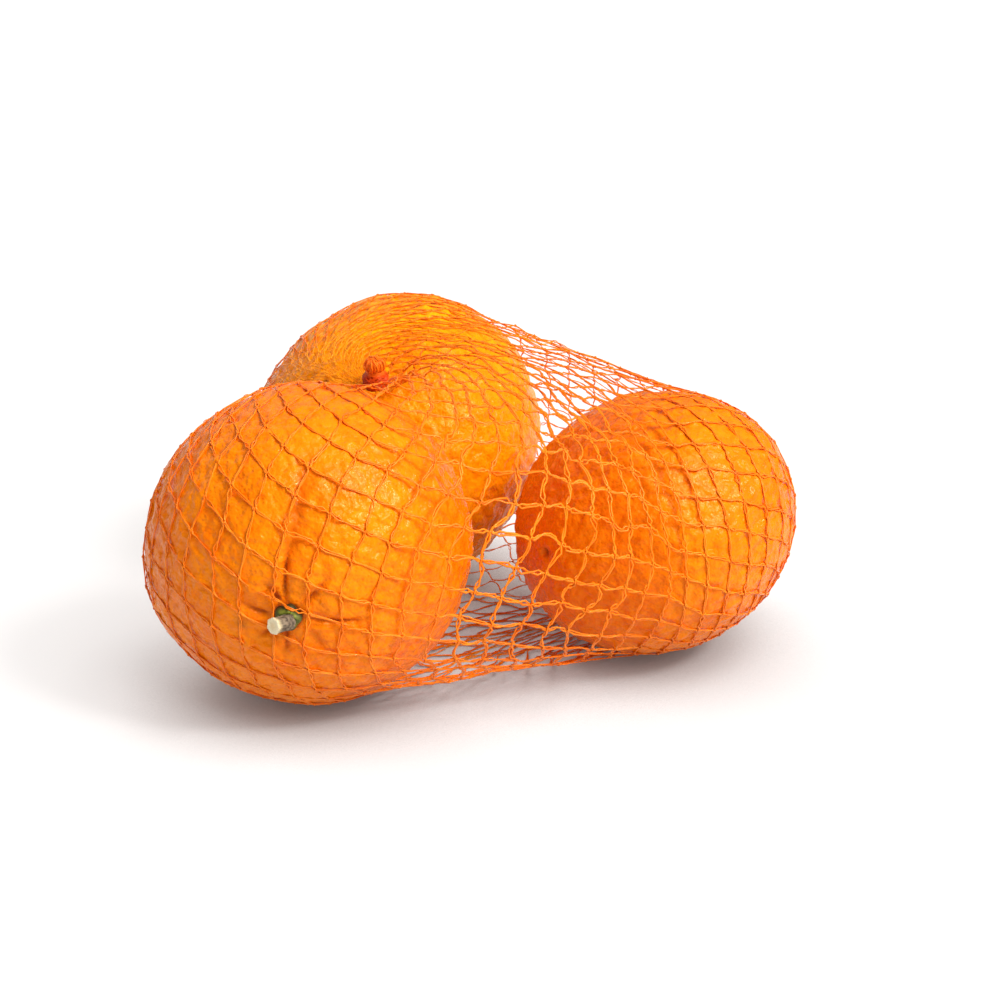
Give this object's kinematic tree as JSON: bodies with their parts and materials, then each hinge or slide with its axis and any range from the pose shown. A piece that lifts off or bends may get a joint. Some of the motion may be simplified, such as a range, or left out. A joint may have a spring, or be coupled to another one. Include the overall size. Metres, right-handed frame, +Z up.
{
  "type": "net of tangelos",
  "caption": "Whole tangelos held side by side in a taut orange knitted net, gathered into a knot at each end, lying on a flat underside.",
  "frame": {"origin": "on the table under the middle of the bounding box", "axes": "+Z up; +X from the pair of fruits towards the single one; -Y is the side with the calyx"},
  "size_m": [0.1673, 0.1674, 0.082],
  "materials": {
    "peel": "waxy pebbled citrus peel, satin",
    "net": "knitted orange polyethylene tape, glossy",
    "calyx": "dull green, slightly woody",
    "stem": "pale cut wood, matt"
  },
  "bodies": {
    "root": {"net_bag": "peel", "calyx": "calyx", "stem_stub": "stem", "net_knot": "net", "net_knot_far": "net"}
  },
  "joints": []
}
